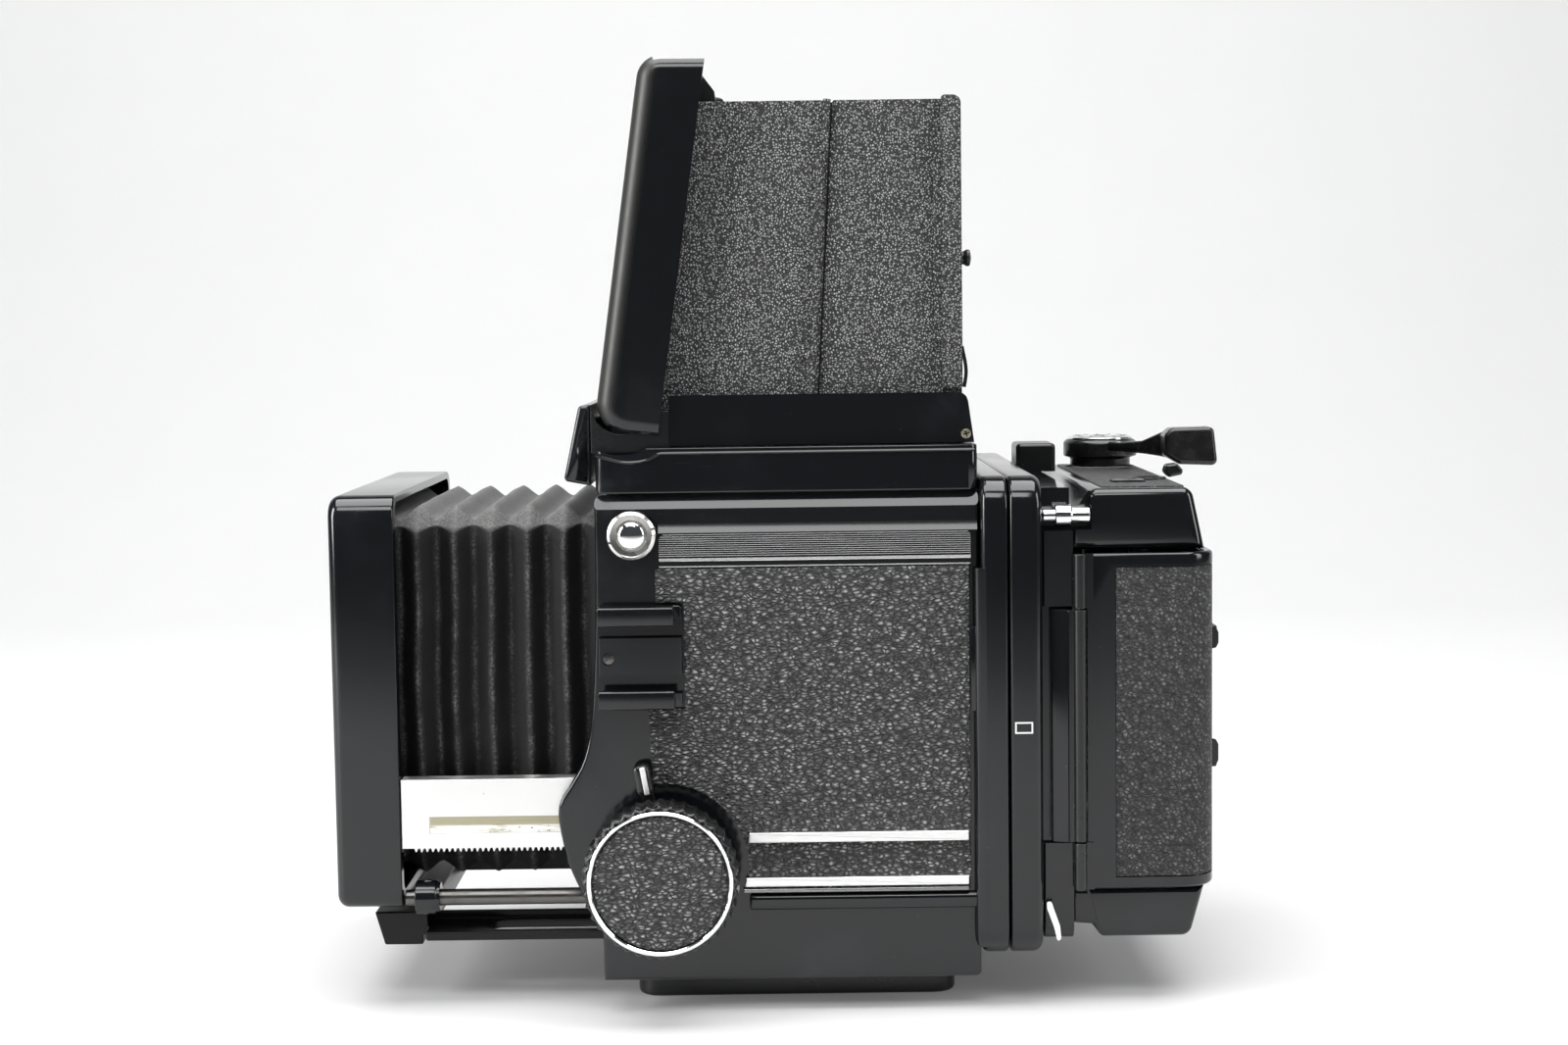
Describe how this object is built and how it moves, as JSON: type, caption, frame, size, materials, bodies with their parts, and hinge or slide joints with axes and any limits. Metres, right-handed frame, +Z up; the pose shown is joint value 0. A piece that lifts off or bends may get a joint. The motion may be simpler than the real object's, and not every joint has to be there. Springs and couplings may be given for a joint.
{
  "type": "bellows reflex camera",
  "caption": "Medium-format reflex camera body with rack-driven folding bellows, open waist-level hood and revolving roll-film back.",
  "frame": {"origin": "centre of the tripod plate's lower face", "axes": "+Z up, -X along the optical axis towards the subject, -Y the camera's left side"},
  "size_m": [0.2062, 0.136, 0.2135],
  "materials": {
    "gloss_black": "glossy black enamel",
    "satin_black": "satin black paint",
    "crinkle_black": "matt crinkle black paint",
    "leather": "pebbled black leatherette",
    "bellows_cloth": "matt black folded bellows cloth",
    "bright_alloy": "bright satin",
    "chrome": "bright",
    "steel": "satin",
    "ribbed_grey": "fine ribbed grey",
    "knob_black": "satin black, scalloped",
    "mirror": "front-silvered",
    "spool": "matt black",
    "screen_glass": "ground glass",
    "lens_glass": "clear"
  },
  "bodies": {
    "camera_body": {"body_shell": "satin_black", "side_cover_left": "gloss_black", "side_cover_right": "gloss_black", "tripod_plate": "satin_black", "tripod_bush": "steel", "side_leather_left": "leather", "side_leather_right": "leather", "name_strip_left": "ribbed_grey", "name_strip_right": "ribbed_grey", "trim_strip_upper": "chrome", "trim_strip_lower": "chrome", "accessory_shoe": "satin_black", "strap_lug_left": "chrome", "strap_lug_right": "chrome", "focusing_screen": "screen_glass", "finder_base": "gloss_black", "finder_frame": "gloss_black", "finder_prow": "gloss_black", "back_base": "gloss_black"},
    "lens_carriage": {"front_standard": "gloss_black", "lens_flange": "bright_alloy", "rack_bar_left": "bright_alloy", "rack_bar_right": "bright_alloy", "guide_rod_left": "steel", "guide_rod_right": "steel", "slide_bed": "satin_black", "bellows": "bellows_cloth"},
    "cocking_ring": {"cocking_ring": "steel"},
    "focus_knobs": {"focus_shaft": "steel", "focus_knob_left": "knob_black", "focus_knob_right": "knob_black", "knob_ring_left": "chrome", "knob_ring_right": "chrome", "knob_disc_left": "leather", "knob_disc_right": "leather"},
    "focus_lock": {"focus_lock_lever": "chrome"},
    "cocking_lever": {"cocking_lever": "chrome"},
    "release_button": {"release_button": "chrome"},
    "release_collar": {"release_collar": "steel"},
    "mirror": {"mirror_frame": "satin_black", "mirror_glass": "mirror"},
    "light_baffle": {"light_baffle": "satin_black"},
    "hood_lid": {"hood_lid": "gloss_black"},
    "leaf_front_left": {"hood_leaf_front_left": "crinkle_black"},
    "leaf_rear_left": {"hood_leaf_rear_left": "crinkle_black"},
    "leaf_front_right": {"hood_leaf_front_right": "crinkle_black"},
    "leaf_rear_right": {"hood_leaf_rear_right": "crinkle_black"},
    "rear_wall": {"hood_rear_wall": "crinkle_black"},
    "magnifier": {"magnifier_arm": "satin_black", "magnifier_lens": "lens_glass"},
    "revolving_back": {"back_ring": "gloss_black", "magazine_body": "satin_black"},
    "door": {"magazine_door": "satin_black"},
    "pressure_plate": {"pressure_plate": "steel"},
    "supply_spool": {"supply_spool": "spool"},
    "takeup_spool": {"takeup_spool": "spool"},
    "wind_lever": {"wind_lever": "knob_black"},
    "dark_slide": {"dark_slide": "steel"},
    "back_latch": {"back_latch": "chrome"}
  },
  "joints": [
    {"name": "focus_slide", "type": "slide", "parent": "camera_body", "child": "lens_carriage", "axis": [1, 0, 0], "range_m": [0, 0.046], "deforming": ["bellows"]},
    {"name": "focus_turn", "type": "hinge", "parent": "camera_body", "child": "focus_knobs", "pos_m": [-0.0297, 0, 0.0331], "axis": [0, 1, 0], "range_deg": [0, 659]},
    {"name": "focus_lock_turn", "type": "hinge", "parent": "camera_body", "child": "focus_lock", "pos_m": [-0.0297, -0.052, 0.0331], "axis": [0, -1, 0], "range_deg": [0, 30]},
    {"name": "cocking_lever_turn", "type": "hinge", "parent": "camera_body", "child": "cocking_lever", "pos_m": [-0.008, 0.054, 0.062], "axis": [0, -1, 0], "range_deg": [0, 58]},
    {"name": "cocking_ring_turn", "type": "hinge", "parent": "lens_carriage", "child": "cocking_ring", "pos_m": [-0.1, 0, 0.06615], "axis": [1, 0, 0], "range_deg": [0, 53]},
    {"name": "release_press", "type": "slide", "parent": "camera_body", "child": "release_button", "axis": [1, 0, 0], "range_m": [0, 0.0035]},
    {"name": "release_collar_turn", "type": "hinge", "parent": "camera_body", "child": "release_collar", "pos_m": [-0.044, 0.0452, 0.012], "axis": [-1, 0, 0], "range_deg": [0, 60]},
    {"name": "mirror_flip", "type": "hinge", "parent": "camera_body", "child": "mirror", "pos_m": [0.0344, 0, 0.105], "axis": [0, 1, 0], "range_deg": [0, 45]},
    {"name": "baffle_flip", "type": "hinge", "parent": "camera_body", "child": "light_baffle", "pos_m": [0.0374, 0, 0.0984], "axis": [0, 1, 0], "range_deg": [0, 88.1]},
    {"name": "hood_lid_turn", "type": "hinge", "parent": "camera_body", "child": "hood_lid", "pos_m": [-0.0377, 0, 0.137], "axis": [0, 1, 0], "range_deg": [0, 82], "deforming": ["hood_leaf_front_left", "hood_leaf_rear_left", "hood_leaf_front_right", "hood_leaf_rear_right"]},
    {"name": "leaf_front_left_turn", "type": "hinge", "parent": "hood_lid", "child": "leaf_front_left", "pos_m": [-0.02902, -0.045, 0.17], "axis": [0.1392, 0, 0.9903], "range_deg": [0, 90.1]},
    {"name": "leaf_rear_left_turn", "type": "hinge", "parent": "leaf_front_left", "child": "leaf_rear_left", "pos_m": [0.00823, -0.0452, 0.17], "axis": [0.0557, 0, 0.9984], "range_deg": [-180.1, 0]},
    {"name": "leaf_front_right_turn", "type": "hinge", "parent": "hood_lid", "child": "leaf_front_right", "pos_m": [-0.02902, 0.045, 0.17], "axis": [0.1392, 0, 0.9903], "range_deg": [-90.1, 0]},
    {"name": "leaf_rear_right_turn", "type": "hinge", "parent": "leaf_front_right", "child": "leaf_rear_right", "pos_m": [0.00823, 0.0452, 0.17], "axis": [0.0557, 0, 0.9984], "range_deg": [0, 180.1]},
    {"name": "rear_wall_turn", "type": "hinge", "parent": "camera_body", "child": "rear_wall", "pos_m": [0.0381, 0, 0.1305], "axis": [0, -1, 0], "range_deg": [0, 90]},
    {"name": "magnifier_turn", "type": "hinge", "parent": "hood_lid", "child": "magnifier", "pos_m": [-0.01746, 0, 0.20484], "axis": [0, 1, 0], "range_deg": [-98, 0]},
    {"name": "back_turn", "type": "hinge", "parent": "camera_body", "child": "revolving_back", "pos_m": [0.052, 0, 0.06615], "axis": [-1, 0, 0], "range_deg": [0, 90]},
    {"name": "door_turn", "type": "hinge", "parent": "revolving_back", "child": "door", "pos_m": [0.0639, -0.0521, 0.06615], "axis": [0, 0, -1], "range_deg": [0, 100]},
    {"name": "pressure_plate_spring", "type": "slide", "parent": "revolving_back", "child": "pressure_plate", "axis": [1, 0, 0], "range_m": [0, 0.001]},
    {"name": "wind_lever_turn", "type": "hinge", "parent": "revolving_back", "child": "wind_lever", "pos_m": [0.0795, 0.034, 0.121], "axis": [0, 0, 1], "range_deg": [0, 150]},
    {"name": "takeup_spool_turn", "type": "hinge", "parent": "revolving_back", "child": "takeup_spool", "pos_m": [0.0793, 0.0355, 0.06615], "axis": [0, 0, 1], "range_deg": [-451, 0]},
    {"name": "supply_spool_turn", "type": "hinge", "parent": "revolving_back", "child": "supply_spool", "pos_m": [0.0793, -0.0355, 0.06615], "axis": [0, 0, 1], "range_deg": [-331, 0]},
    {"name": "dark_slide_pull", "type": "slide", "parent": "revolving_back", "child": "dark_slide", "axis": [0, -1, 0], "range_m": [-0.088, 0]},
    {"name": "back_latch_pull", "type": "slide", "parent": "revolving_back", "child": "back_latch", "axis": [0, -1, 0], "range_m": [0, 0.003]}
  ],
  "couplings": [
    {"joint": "focus_turn", "follows": "focus_slide", "rad_per_m": 250},
    {"joint": "cocking_ring_turn", "follows": "cocking_lever_turn", "ratio": 0.9},
    {"joint": "baffle_flip", "follows": "mirror_flip", "ratio": 1.9556},
    {"joint": "leaf_front_left_turn", "follows": "hood_lid_turn", "ratio": 1.0976},
    {"joint": "leaf_rear_left_turn", "follows": "hood_lid_turn", "ratio": -2.1951},
    {"joint": "leaf_front_right_turn", "follows": "hood_lid_turn", "ratio": -1.0976},
    {"joint": "leaf_rear_right_turn", "follows": "hood_lid_turn", "ratio": 2.1951},
    {"joint": "takeup_spool_turn", "follows": "wind_lever_turn", "ratio": -3},
    {"joint": "supply_spool_turn", "follows": "wind_lever_turn", "ratio": -2.2}
  ]
}
